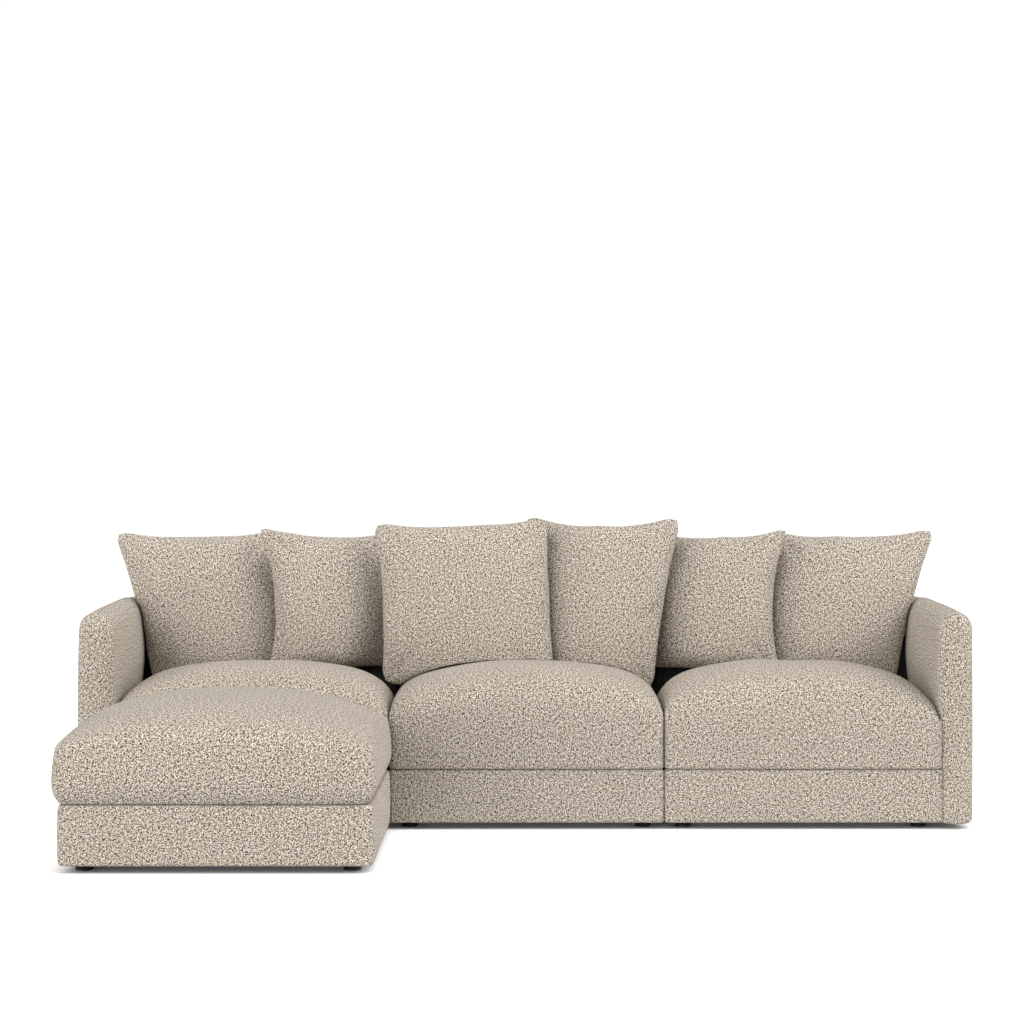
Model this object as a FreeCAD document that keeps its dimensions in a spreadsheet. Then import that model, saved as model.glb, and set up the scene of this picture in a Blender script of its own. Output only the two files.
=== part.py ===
import FreeCAD, Part
import Sketcher
import math
import os

# Three-seat modular sofa with a matching square footstool.
# Millimetres. +X runs along the seats, +Y from the front to the back, +Z up.
# The origin is on the floor, at the middle of the whole set's footprint, which is
# also the plane of the sofa's front covers.

V = FreeCAD.Vector
doc = FreeCAD.newDocument("three_seat_sofa_with_footstool")
sheet = doc.addObject("Spreadsheet::Sheet", "Sheet")

SIZES = [
    # the set
    ("module_pitch", 870, "distance from seat to seat"),
    ("module_width", 864, "width of one seat base"),
    ("base_depth", 550, "depth of a sofa base, in front of the back"),
    ("base_bottom", 22, "underside of the base covers"),
    ("base_top", 190, "top of the base, where the cushion starts"),
    # frame
    ("front_pad", 14, "padded front cover"),
    ("side_pad", 6, "side cover"),
    ("rail_thick", 25, "timber rail"),
    ("rail_bottom", 28, "underside of the rails"),
    ("web_thick", 3, "elastic webbing"),
    ("web_wide", 70, "one webbing strap"),
    ("web_pitch", 155, "strap to strap"),
    ("dust_bottom", 26, "underside of the dust cover"),
    ("dust_thick", 2, "dust cover"),
    ("block_side", 90, "corner block, square"),
    ("block_tall", 60, "corner block height"),
    # feet
    ("foot_radius", 25, "foot at the floor"),
    ("foot_top_radius", 29, "foot at its top"),
    ("foot_out", 15, "feet out from the middle of their blocks"),
    ("stud_radius", 4, "foot stud"),
    ("stud_rise", 36, "stud above the foot"),
    ("stud_room", 0.2, "radial room round a stud or bolt"),
    # arms
    ("arm_thick", 106, "arm, side to side"),
    ("arm_ahead", 12, "arm in front of the base"),
    ("arm_back", 551, "rear end of the arm, below the seat"),
    ("arm_back_top", 670, "rear end of the arm at its top, along the back's slope"),
    ("arm_bottom", 17, "underside of the arm"),
    ("arm_front_top", 678, "arm top at the front"),
    ("arm_rear_top", 708, "arm top at the rear"),
    ("arm_round", 40, "edge radius of the arm"),
    ("arm_panel", 44, "timber panel in the arm"),
    ("arm_wall", 31, "padding each side of the panel"),
    ("arm_panel_top", 626, "top of the arm panel"),
    # back
    ("back_front", 554, "front of the back, below the seat"),
    ("back_top", 705, "top of the back"),
    ("back_front_top", 673, "front of the back, at its top"),
    ("back_rear", 885, "rear of the back"),
    ("back_round", 42, "edge radius of the back"),
    ("back_gap", 6, "gap between two backs"),
    ("back_panel_front", 700, "front of the timber panel in the back"),
    ("back_panel_thick", 30, "timber panel in the back"),
    ("back_panel_top", 640, "top of that panel"),
    ("back_panel_inset", 40, "panel in from the ends of the back"),
    # seat cushions and footstool pad
    ("seat_width", 862, "seat cushion"),
    ("seat_depth", 546, "seat cushion, front to rear"),
    ("seat_edge", 345, "height of the boxed edge"),
    ("seat_rise", 160, "crown above the edge"),
    ("stool_depth", 870, "footstool, front to rear"),
    ("stool_front", -885, "front of the footstool"),
    ("stool_edge", 348, "height of the pad's edge"),
    ("stool_rise", 127, "crown of the pad"),
    # back cushions
    ("cushion_width", 560, "back cushion"),
    ("outer_cushion_width", 500, "back cushion beside an arm"),
    ("cushion_tall", 475, "back cushion along its lean"),
    ("cushion_thick", 165, "back cushion at its middle"),
    ("lean", 13, "lean of the back cushions, degrees"),
    # fasteners and connectors
    ("bolt_radius", 4, "frame bolt"),
    ("bolt_head_radius", 9, "frame bolt head"),
    ("bolt_head", 5, "head height"),
    ("bolt_level", 105, "height of the bolts"),
    ("arm_bolt_reach", 36, "bolt in the arm panel"),
    ("back_bolt_reach", 22, "bolt in the back panel"),
    ("plate_side", 60, "connector plate, square"),
    ("tongue_wide", 40, "connector tongue"),
    ("tongue_thick", 5, "connector tongue"),
    ("tongue_reach", 24, "tongue beyond the plate"),
    ("tongue_room", 1.5, "room round the tongue"),
    ("connector_level", 108, "height of the connectors"),
]

for row, (alias, value, note) in enumerate(SIZES, start=1):
    sheet.set("A%d" % row, note)
    sheet.set("B%d" % row, str(value))
    sheet.setAlias("B%d" % row, alias)
doc.recompute()


class Dim:
    """A length of the sheet, or a sum or multiple of such lengths."""

    def __init__(self, text, value):
        self.text = text
        self.value = float(value)

    def __add__(self, other):
        other = dim(other)
        return Dim("(%s + %s)" % (self.text, other.text), self.value + other.value)

    def __sub__(self, other):
        other = dim(other)
        return Dim("(%s - %s)" % (self.text, other.text), self.value - other.value)

    def __mul__(self, number):
        return Dim("(%s * %s)" % (self.text, dim(number).text), self.value * number)

    def __truediv__(self, number):
        return Dim("(%s / %s)" % (self.text, dim(number).text), self.value / number)

    def __neg__(self):
        return Dim("(0 - %s)" % self.text, -self.value)

    __rmul__ = __mul__

    def __radd__(self, other):
        return dim(other) + self

    def __rsub__(self, other):
        return dim(other) - self


def dim(x):
    if isinstance(x, Dim):
        return x
    x = float(x)
    return Dim("%.6f" % x if x >= 0 else "(0 - %.6f)" % -x, x)


class Sizes:
    pass


S = Sizes()
for alias, value, note in SIZES:
    setattr(S, alias, Dim("Sheet." + alias, sheet.get(alias)))

NODES = {}


def bind(obj, prop, length):
    obj.setExpression(prop, dim(length).text)


def move_to(obj, x, y, z):
    obj.Placement.Base = V(dim(x).value, dim(y).value, dim(z).value)
    bind(obj, "Placement.Base.x", x)
    bind(obj, "Placement.Base.y", y)
    bind(obj, "Placement.Base.z", z)


def node(obj, label, x=0, y=0, z=0):
    """Name a finished piece and set it in its place."""
    obj.Label = label
    if dim(x).value or dim(y).value or dim(z).value:
        move_to(obj, x, y, z)
    NODES[label] = obj
    return obj


def block(name, x, y, z, lx, ly, lz):
    b = doc.addObject("Part::Box", name)
    bind(b, "Length", lx)
    bind(b, "Width", ly)
    bind(b, "Height", lz)
    move_to(b, x, y, z)
    return b


def round_bar(name, radius, length, x, y, z, along):
    c = doc.addObject("Part::Cylinder", name)
    bind(c, "Radius", radius)
    bind(c, "Height", length)
    turn = {"X": FreeCAD.Rotation(V(0, 1, 0), 90),
            "-X": FreeCAD.Rotation(V(0, 1, 0), -90),
            "Y": FreeCAD.Rotation(V(1, 0, 0), -90),
            "Z": FreeCAD.Rotation()}[along]
    c.Placement = FreeCAD.Placement(V(), turn)
    move_to(c, x, y, z)
    return c


def group(name, pieces):
    g = doc.addObject("Part::Compound", name)
    g.Links = pieces
    return g


def cut(name, base, tools):
    c = doc.addObject("Part::Cut", name)
    c.Base = base
    c.Tool = tools[0] if len(tools) == 1 else group(name + "_tools", tools)
    return c


def fuse(name, one, two):
    f = doc.addObject("Part::Fuse", name)
    f.Base = one
    f.Tool = two
    return f


SHIFT = 2000.0          # keeps every sketch coordinate positive
PLANES = {"XZ": FreeCAD.Rotation(V(1, 0, 0), 90),
          "YZ": FreeCAD.Rotation(V(1, 1, 1), 120),
          "XY": FreeCAD.Rotation()}


def outline(sk, points):
    """Closed polygon whose corners are all held by distances from the sheet."""
    n = len(points)
    pts = [(dim(a) + SHIFT, dim(b) + SHIFT) for a, b in points]
    for i in range(n):
        a, b = pts[i], pts[(i + 1) % n]
        sk.addGeometry(Part.LineSegment(V(a[0].value, a[1].value, 0), V(b[0].value, b[1].value, 0)), False)
    for i in range(n):
        sk.addConstraint(Sketcher.Constraint("Coincident", i, 2, (i + 1) % n, 1))
    for i, (a, b) in enumerate(pts):
        for kind, length in (("DistanceX", a), ("DistanceY", b)):
            c = sk.addConstraint(Sketcher.Constraint(kind, -1, 1, i, 1, length.value))
            sk.setExpression("Constraints[%d]" % c, length.text)


def prism(name, plane, points, start, length):
    """Profile on a plane, pushed along that plane's third axis from start."""
    sk = doc.addObject("Sketcher::SketchObject", name + "_profile")
    turn = PLANES[plane]
    axis = {"XZ": V(0, 1, 0), "YZ": V(1, 0, 0), "XY": V(0, 0, 1)}[plane]
    away = {"XZ": "y", "YZ": "x", "XY": "z"}[plane]
    base = turn.multVec(V(-SHIFT, -SHIFT, 0)) + axis * dim(start).value
    sk.Placement = FreeCAD.Placement(base, turn)
    bind(sk, "Placement.Base." + away, start)
    outline(sk, points)
    ex = doc.addObject("Part::Extrusion", name)
    ex.Base = sk
    ex.DirMode = "Custom"
    ex.Dir = axis
    ex.Solid = True
    bind(ex, "LengthFwd", length)
    return ex


def padded_body(name, plane_role, points, length, radius, pick):
    """Body with one padded profile and soft rounded edges."""
    body = doc.addObject("PartDesign::Body", name)
    plane = [f for f in body.Origin.OriginFeatures if f.Role == plane_role][0]
    sk = body.newObject("Sketcher::SketchObject", name + "_profile")
    sk.AttachmentSupport = [(plane, "")]
    sk.MapMode = "FlatFace"
    outline(sk, points)
    pad = body.newObject("PartDesign::Pad", name + "_pad")
    pad.Profile = sk
    pad.Length = dim(length).value
    bind(pad, "Length", length)
    doc.recompute()
    names = []
    for i, e in enumerate(pad.Shape.Edges):
        a, b = e.Vertexes[0].Point, e.Vertexes[-1].Point
        if pick(a, b):
            names.append("Edge%d" % (i + 1))
    fillet = body.newObject("PartDesign::Fillet", name + "_rounding")
    fillet.Base = (pad, names)
    fillet.Radius = dim(radius).value
    bind(fillet, "Radius", radius)
    body.Tip = fillet
    doc.recompute()
    return body


# ---------------------------------------------------------------- seat and stool bases

half_base = S.module_width / 2
rail_out = half_base - S.side_pad
rail_in = rail_out - S.rail_thick
rail_top = S.base_top - S.web_thick
rail_tall = rail_top - S.rail_bottom
cover_tall = S.base_top - S.base_bottom
CONNECTOR_Y = (150.0, 400.0)
ARM_BOLT_Y = (120.0, 300.0, 480.0)
BACK_BOLT_X = (-250.0, 250.0)


def make_base(who, cx, cy, depth, stool=False, slot_sides=(), plate_side=None, arm_side=None):
    """Timber base with its webbing, covers, corner blocks, dust cover and feet."""
    rear_pad = S.front_pad if stool else dim(0)
    inner_front = S.front_pad + S.rail_thick
    rear_rail = depth - rear_pad - S.rail_thick

    # long rails, front and rear
    front = block(who + "_rail_f", -rail_out, S.front_pad, S.rail_bottom, rail_out * 2, S.rail_thick, rail_tall)
    rear = block(who + "_rail_r", -rail_out, rear_rail, S.rail_bottom, rail_out * 2, S.rail_thick, rail_tall)
    if not stool:
        holes = [round_bar(who + "_rr_hole%d" % i, S.bolt_radius + S.stud_room, S.rail_thick + 2,
                           x, rear_rail - 1, S.bolt_level, "Y") for i, x in enumerate(BACK_BOLT_X)]
        rear = cut(who + "_rail_rear_drilled", rear, holes)
    node(group(who + "_long_rails", [front, rear]), who + "_long_rails", cx, cy)

    # side rails, with slots for the connectors or holes for the arm's bolts
    rails, covers = [], []
    for side in (-1, 1):
        tag = "l" if side < 0 else "r"
        x0 = -rail_out if side < 0 else rail_in
        rail = block(who + "_rail_" + tag, x0, inner_front, S.rail_bottom,
                     S.rail_thick, rear_rail - inner_front, rail_tall)
        c0 = -half_base if side < 0 else rail_out
        cover = block(who + "_cover_" + tag, c0, S.front_pad, S.base_bottom,
                      S.side_pad, depth - S.front_pad - rear_pad, cover_tall)
        if side in slot_sides:
            slots = [block(who + "_slot_%s%d" % (tag, i), x0 - 1,
                           y - S.tongue_wide / 2 - S.tongue_room,
                           S.connector_level - S.tongue_thick / 2 - S.tongue_room,
                           S.rail_thick + 2, S.tongue_wide + S.tongue_room * 2,
                           S.tongue_thick + S.tongue_room * 2) for i, y in enumerate(CONNECTOR_Y)]
            rail = cut(who + "_rail_slotted_" + tag, rail, slots)
        if side in slot_sides or side == plate_side:
            windows = [block(who + "_window_%s%d" % (tag, i), c0 - 1, y - S.plate_side / 2,
                             S.connector_level - S.plate_side / 2,
                             S.side_pad + 2, S.plate_side, S.plate_side) for i, y in enumerate(CONNECTOR_Y)]
            cover = cut(who + "_cover_window_" + tag, cover, windows)
        if side == arm_side:
            start = -half_base - 2 if side < 0 else rail_in - 2
            holes = [round_bar(who + "_arm_hole%d" % i, S.bolt_radius + S.stud_room,
                               half_base - rail_in + 4, start, y, S.bolt_level, "X")
                     for i, y in enumerate(ARM_BOLT_Y)]
            rail = cut(who + "_rail_drilled_" + tag, rail, [holes[0], holes[1], holes[2]])
            cover = cut(who + "_cover_drilled_" + tag, cover, [holes[0], holes[1], holes[2]])
        rails.append(rail)
        covers.append(cover)
    node(group(who + "_side_rails", rails), who + "_side_rails", cx, cy)
    node(group(who + "_side_covers", covers), who + "_side_covers", cx, cy)

    # padded front cover, and on the footstool the same at the rear
    def soft_front(name):
        return padded_body(name, "XY_Plane",
                           [(-half_base, dim(0)), (half_base, dim(0)),
                            (half_base, S.front_pad), (-half_base, S.front_pad)],
                           cover_tall, dim(10),
                           lambda a, b: abs(a.z - b.z) > 1 and a.y < SHIFT + 1 and b.y < SHIFT + 1)
    first = soft_front(who + "_front")
    if stool:
        first.Placement = FreeCAD.Placement(V(-SHIFT, -SHIFT, 0), FreeCAD.Rotation())
        bind(first, "Placement.Base.z", S.base_bottom)
        second = soft_front(who + "_rear")
        second.Placement = FreeCAD.Placement(V(SHIFT, SHIFT, 0), FreeCAD.Rotation(V(0, 0, 1), 180))
        bind(second, "Placement.Base.y", depth + SHIFT)
        bind(second, "Placement.Base.z", S.base_bottom)
        node(group(who + "_end_covers", [first, second]), who + "_end_covers", cx, cy)
    else:
        node(first, who + "_front_cover", dim(cx) - SHIFT, dim(cy) - SHIFT, S.base_bottom)

    # elastic straps from the front rail to the rear rail
    straps = [block(who + "_strap%d" % i, S.web_pitch * k - S.web_wide / 2, S.front_pad, rail_top,
                    S.web_wide, depth - S.front_pad - rear_pad, S.web_thick)
              for i, k in enumerate((-2, -1, 0, 1, 2))]
    node(group(who + "_webbing", straps), who + "_webbing", cx, cy)

    # corner blocks with a hole for each foot's stud, dust cover, feet
    bx = rail_in - S.block_side / 2
    by = (inner_front + S.block_side / 2, rear_rail - S.block_side / 2)
    corners = [(sx * bx, y) for sx in (-1, 1) for y in by]
    spots = [(sx * (bx + S.foot_out), y) for sx in (-1, 1) for y in by]
    hole_r = S.stud_radius + S.stud_room
    blocks = []
    for i, ((cornerx, cornery), (x, y)) in enumerate(zip(corners, spots)):
        b = block(who + "_block%d" % i, cornerx - S.block_side / 2, cornery - S.block_side / 2, S.rail_bottom,
                  S.block_side, S.block_side, S.block_tall)
        drill = round_bar(who + "_drill%d" % i, hole_r, S.stud_rise + 6, x, y, S.rail_bottom - 4, "Z")
        blocks.append(cut(who + "_block_drilled%d" % i, b, [drill]))
    node(group(who + "_corner_blocks", blocks), who + "_corner_blocks", cx, cy)

    felt = block(who + "_dust", -rail_out, S.front_pad, S.dust_bottom,
                 rail_out * 2, depth - S.front_pad - rear_pad, S.dust_thick)
    pins = [round_bar(who + "_dust_hole%d" % i, S.stud_radius + 1, S.dust_thick + 4, x, y, S.dust_bottom - 2, "Z")
            for i, (x, y) in enumerate(spots)]
    node(cut(who + "_dust_cover", felt, pins), who + "_dust_cover", cx, cy)

    feet = []
    for i, (x, y) in enumerate(spots):
        cone = doc.addObject("Part::Cone", who + "_foot_cone%d" % i)
        bind(cone, "Radius1", S.foot_radius)
        bind(cone, "Radius2", S.foot_top_radius)
        bind(cone, "Height", S.dust_bottom)
        move_to(cone, x, y, 0)
        stud = round_bar(who + "_foot_stud%d" % i, S.stud_radius, S.stud_rise + 4, x, y, S.dust_bottom - 4, "Z")
        feet.append(fuse(who + "_foot%d" % i, cone, stud))
    node(group(who + "_feet", feet), who + "_feet", cx, cy)


# crown of a boxed cushion: distance out from the middle, and share of the rise
CROWN = [(1.0, 0.0), (0.97, 0.37), (0.92, 0.523), (0.84, 0.66), (0.70, 0.80), (0.50, 0.915), (0.25, 0.982)]


def crowned(name, width, depth, bottom, edge, rise):
    """Boxed cushion with a crown both ways: two crossed profiles, kept where they agree."""
    def section(half):
        right = [(half * a, edge + rise * b) for a, b in CROWN]
        left = [(half * -a, edge + rise * b) for a, b in reversed(CROWN)]
        return [(half * -1, bottom), (half, bottom)] + right + [(dim(0), edge + rise)] + left
    across = prism(name + "_across", "XZ", section(width / 2), depth * -0.5, depth)
    along = prism(name + "_along", "YZ", section(depth / 2), width * -0.5, width)
    both = doc.addObject("Part::Common", name)
    both.Base = across
    both.Tool = along
    return both


# half thickness of a loose cushion, out from its middle to its edge
LENS = [(1.0, 0.145), (0.9, 0.316), (0.75, 0.532), (0.5, 0.796), (0.25, 0.95)]


def loose_cushion(name, width, tall, thick):
    """Loose cushion, thick in the middle and thin at its four edges."""
    def section(half, deep, swap):
        pts = [(half * a, deep * -b) for a, b in reversed(LENS)]
        pts += [(half * a, deep * b) for a, b in LENS]
        pts += [(dim(0), deep)]
        pts += [(half * -a, deep * b) for a, b in reversed(LENS)]
        pts += [(half * -a, deep * -b) for a, b in LENS]
        pts += [(dim(0), deep * -1)]
        return [(b, a) for a, b in pts] if swap else pts
    flat = prism(name + "_plan", "XY", section(width / 2, thick / 2, False), tall * -0.5, tall)
    side = prism(name + "_side", "YZ", section(tall / 2, thick / 2, True), width * -0.5, width)
    both = doc.addObject("Part::Common", name)
    both.Base = flat
    both.Tool = side
    return both


# ---------------------------------------------------------------- the three seats

SEATS = [
    ("left", -S.module_pitch, -1),
    ("middle", dim(0), 0),
    ("right", S.module_pitch, 1),
]

for who, cx, arm in SEATS:
    if arm:
        make_base(who, cx, dim(0), S.base_depth, plate_side=-arm, arm_side=arm)
    else:
        make_base(who, cx, dim(0), S.base_depth, slot_sides=(-1, 1))

    node(crowned(who + "_seat", S.seat_width, S.seat_depth, S.base_top, S.seat_edge, S.seat_rise),
         who + "_seat_cushion", cx, S.seat_depth / 2 + 2, 0)

    # back: sloping front, rounded top, with a slot from below for its timber panel
    if arm:
        back_in = S.module_pitch / 2 - S.back_gap / 2
        back_wide = back_in + half_base + S.arm_thick + 2
        left_end = -half_base - S.arm_thick - 2 if arm < 0 else -back_in
    else:
        back_wide = S.module_pitch - S.back_gap
        left_end = back_wide * -0.5
    shell = padded_body(who + "_back_form", "YZ_Plane",
                        [(S.back_front, S.base_bottom), (S.back_rear, S.base_bottom),
                         (S.back_rear, S.back_top), (S.back_front_top, S.back_top),
                         (S.back_front, S.base_top)],
                        back_wide, S.back_round,
                        lambda a, b: min(a.z, b.z) > SHIFT + 650)
    shell.Placement = FreeCAD.Placement(V(left_end.value, -SHIFT, -SHIFT), FreeCAD.Rotation())
    bind(shell, "Placement.Base.x", left_end)
    panel_left = left_end + S.back_panel_inset
    panel_wide = back_wide - S.back_panel_inset * 2
    room = block(who + "_back_room", panel_left, S.back_panel_front, S.base_bottom - 1,
                 panel_wide, S.back_panel_thick, S.back_panel_top - S.base_bottom + 1)
    bores = [round_bar(who + "_back_bore%d" % i, S.bolt_radius + S.stud_room,
                       S.back_panel_front - S.back_front + 4, x, S.back_front - 2, S.bolt_level, "Y")
             for i, x in enumerate(BACK_BOLT_X)]
    node(cut(who + "_back_shell", shell, [room] + bores), who + "_back_cover", cx)
    panel = block(who + "_back_board", panel_left, S.back_panel_front, S.base_bottom,
                  panel_wide, S.back_panel_thick, S.back_panel_top - S.base_bottom)
    sockets = [round_bar(who + "_back_socket%d" % i, S.bolt_radius + S.stud_room,
                         S.back_bolt_reach + 3, x, S.back_panel_front - 2, S.bolt_level, "Y")
               for i, x in enumerate(BACK_BOLT_X)]
    node(cut(who + "_back_board_drilled", panel, sockets), who + "_back_panel", cx)

    # bolts: long ones from the rear rail to the back's panel, short ones to the arm's panel
    bolts = []
    rear_face = S.base_depth - S.rail_thick
    for i, x in enumerate(BACK_BOLT_X):
        head = round_bar(who + "_bolt_head%d" % i, S.bolt_head_radius, S.bolt_head,
                         x, rear_face - S.bolt_head, S.bolt_level, "Y")
        shank = round_bar(who + "_bolt_shank%d" % i, S.bolt_radius,
                          S.back_panel_front + S.back_bolt_reach - rear_face + 2,
                          x, rear_face - 2, S.bolt_level, "Y")
        bolts.append(fuse(who + "_bolt%d" % i, head, shank))

    if arm:
        # arm: a rounded upholstered slab over a timber panel
        face = half_base + 2
        x0 = -face - S.arm_thick if arm < 0 else face
        form = padded_body(who + "_arm_form", "YZ_Plane",
                           [(-S.arm_ahead, S.arm_bottom), (S.arm_back, S.arm_bottom),
                            (S.arm_back, S.base_top), (S.arm_back_top, S.arm_rear_top),
                            (-S.arm_ahead, S.arm_front_top)],
                           S.arm_thick, S.arm_round,
                           lambda a, b: min(a.z, b.z) > SHIFT + 650 and not
                           (min(a.y, b.y) > SHIFT + 600) or
                           (max(a.y, b.y) < SHIFT and abs(a.z - b.z) > 100))
        form.Placement = FreeCAD.Placement(V(x0.value, -SHIFT, -SHIFT), FreeCAD.Rotation())
        bind(form, "Placement.Base.x", x0)
        px = x0 + S.arm_wall
        long = S.arm_back - 75
        room = block(who + "_arm_room", px, 40, S.arm_bottom - 1, S.arm_panel, long,
                     S.arm_panel_top - S.arm_bottom + 1)
        bores = [round_bar(who + "_arm_bore%d" % i, S.bolt_radius + S.stud_room, S.arm_wall + 4,
                           face - 2 if arm > 0 else -face - S.arm_wall - 2, y, S.bolt_level, "X")
                 for i, y in enumerate(ARM_BOLT_Y)]
        node(cut(who + "_arm_shell", form, [room] + bores), who + "_arm_cover", cx)
        board = block(who + "_arm_board", px, 40, S.arm_bottom, S.arm_panel, long,
                      S.arm_panel_top - S.arm_bottom)
        reach = face + S.arm_wall + S.arm_bolt_reach
        sockets = [round_bar(who + "_arm_socket%d" % i, S.bolt_radius + S.stud_room, S.arm_bolt_reach + 3,
                             face + S.arm_wall - 2 if arm > 0 else -reach - 1,
                             y, S.bolt_level, "X") for i, y in enumerate(ARM_BOLT_Y)]
        node(cut(who + "_arm_board_drilled", board, sockets), who + "_arm_panel", cx)
        for i, y in enumerate(ARM_BOLT_Y):
            way = "X" if arm > 0 else "-X"
            head = round_bar(who + "_arm_head%d" % i, S.bolt_head_radius, S.bolt_head,
                             arm * (rail_in - S.bolt_head), y, S.bolt_level, way)
            shank = round_bar(who + "_arm_shank%d" % i, S.bolt_radius, reach - rail_in + 2,
                              arm * (rail_in - 2), y, S.bolt_level, way)
            bolts.append(fuse(who + "_arm_bolt%d" % i, head, shank))

        # connector: a plate in the inner side cover with a tongue towards the middle seat
        tongues = []
        for i, y in enumerate(CONNECTOR_Y):
            x_plate = rail_out if arm < 0 else -half_base
            plate = block(who + "_plate%d" % i, x_plate, y - S.plate_side / 2,
                          S.connector_level - S.plate_side / 2, S.side_pad, S.plate_side, S.plate_side)
            x_tongue = rail_out + 1 if arm < 0 else -half_base - S.tongue_reach
            bar = block(who + "_tongue%d" % i, x_tongue, y - S.tongue_wide / 2,
                        S.connector_level - S.tongue_thick / 2,
                        S.side_pad + S.tongue_reach - 1, S.tongue_wide, S.tongue_thick)
            tongues.append(fuse(who + "_connector%d" % i, plate, bar))
        node(group(who + "_connector_tongues", tongues), who + "_connector_tongues", cx)

    node(group(who + "_frame_bolts", bolts), who + "_frame_bolts", cx)

# connector plates of the middle seat, each with a slot that takes a tongue
plates = []
for side in (-1, 1):
    for i, y in enumerate(CONNECTOR_Y):
        tag = ("l%d" if side < 0 else "r%d") % i
        x0 = -half_base if side < 0 else rail_out
        plate = block("receiver_" + tag, x0, y - S.plate_side / 2, S.connector_level - S.plate_side / 2,
                      S.side_pad, S.plate_side, S.plate_side)
        mouth = block("mouth_" + tag, x0 - 1, y - S.tongue_wide / 2 - S.tongue_room,
                      S.connector_level - S.tongue_thick / 2 - S.tongue_room,
                      S.side_pad + 2, S.tongue_wide + S.tongue_room * 2, S.tongue_thick + S.tongue_room * 2)
        plates.append(cut("receiver_slotted_" + tag, plate, [mouth]))
node(group("middle_connector_plates", plates), "middle_connector_plates")

# ---------------------------------------------------------------- footstool

make_base("footstool", -S.module_pitch, S.stool_front, S.stool_depth, stool=True)
node(crowned("footstool_top", S.seat_width, S.stool_depth, S.base_top, S.stool_edge, S.stool_rise),
     "footstool_pad", -S.module_pitch, S.stool_front + S.stool_depth / 2, 0)

# ---------------------------------------------------------------- six loose back cushions

# Each leans on the slope of the back: its middle along the row, the height of its top
# edge, how far its middle plane stands in front of the slope, and its turn about its
# own upright. The inner ones overlap the outer ones, and the middle ones lie in front.
lean = math.radians(S.lean.value)
CUSHIONS = [
    ("left_outer_back_cushion", -1052, 925, 87, 0, S.outer_cushion_width),
    ("left_inner_back_cushion", -623, 943, 123, 13, S.cushion_width),
    ("middle_left_back_cushion", -215, 962, 199, 0, S.cushion_width),
    ("middle_right_back_cushion", 236, 956, 154, -10, S.cushion_width),
    ("right_inner_back_cushion", 623, 943, 123, -13, S.cushion_width),
    ("right_outer_back_cushion", 1052, 925, 87, 0, S.outer_cushion_width),
]
for label, x, top, ahead, yaw, wide in CUSHIONS:
    c = loose_cushion(label + "_form", wide, S.cushion_tall, S.cushion_thick)
    zc = top - S.cushion_tall.value / 2 * math.cos(lean)
    along = (zc - S.base_top.value - ahead * math.sin(lean)) / math.cos(lean)
    yc = S.back_front.value + along * math.sin(lean) - ahead * math.cos(lean)
    turn = FreeCAD.Rotation(V(1, 0, 0), -S.lean.value).multiply(FreeCAD.Rotation(V(0, 0, 1), yaw))
    c.Placement = FreeCAD.Placement(V(x, yc, zc), turn)
    c.Label = label
    NODES[label] = c

# ---------------------------------------------------------------- check and write

doc.recompute()
bad = []
for obj in doc.Objects:
    if "Invalid" in obj.State or "Error" in obj.State:
        bad.append("%s: %s" % (obj.Name, obj.State))
for label, obj in NODES.items():
    shape = obj.Shape
    if shape.isNull() or not shape.isValid() or not shape.Solids:
        bad.append("%s: shape" % label)
if bad:
    raise RuntimeError("failed pieces: " + "; ".join(bad))
if len(NODES) > 60:
    raise RuntimeError("too many pieces: %d" % len(NODES))

os.makedirs("parts", exist_ok=True)
whole = FreeCAD.BoundBox()
for label, obj in NODES.items():
    whole.add(obj.Shape.BoundBox)
    obj.Shape.exportStep("parts/%s.step" % label)
print("%d pieces, box %.1f..%.1f  %.1f..%.1f  %.1f..%.1f mm" % (
    len(NODES), whole.XMin, whole.XMax, whole.YMin, whole.YMax, whole.ZMin, whole.ZMax))
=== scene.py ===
"""Looks of a three-seat sofa with a footstool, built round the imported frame. Metres, X to the right, Y to the back, Z up."""

import math

import bpy
import numpy as np
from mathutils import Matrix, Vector


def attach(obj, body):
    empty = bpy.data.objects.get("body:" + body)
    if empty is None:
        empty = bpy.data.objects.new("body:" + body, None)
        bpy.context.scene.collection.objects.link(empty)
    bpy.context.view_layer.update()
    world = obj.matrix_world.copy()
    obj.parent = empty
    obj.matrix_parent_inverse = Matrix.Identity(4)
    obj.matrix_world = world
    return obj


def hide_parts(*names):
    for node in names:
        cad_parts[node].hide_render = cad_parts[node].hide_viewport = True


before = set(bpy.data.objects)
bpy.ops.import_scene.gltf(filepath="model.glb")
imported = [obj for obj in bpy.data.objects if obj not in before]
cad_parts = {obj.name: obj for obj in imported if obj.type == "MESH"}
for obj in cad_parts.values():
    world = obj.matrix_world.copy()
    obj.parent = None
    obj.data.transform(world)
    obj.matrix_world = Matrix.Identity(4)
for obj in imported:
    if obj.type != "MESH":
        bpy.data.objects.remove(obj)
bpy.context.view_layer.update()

scene = bpy.context.scene
scene.view_settings.view_transform = "Standard"
scene.view_settings.look = "None"
scene.view_settings.exposure = 0.0
scene.view_settings.gamma = 1.0

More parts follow.
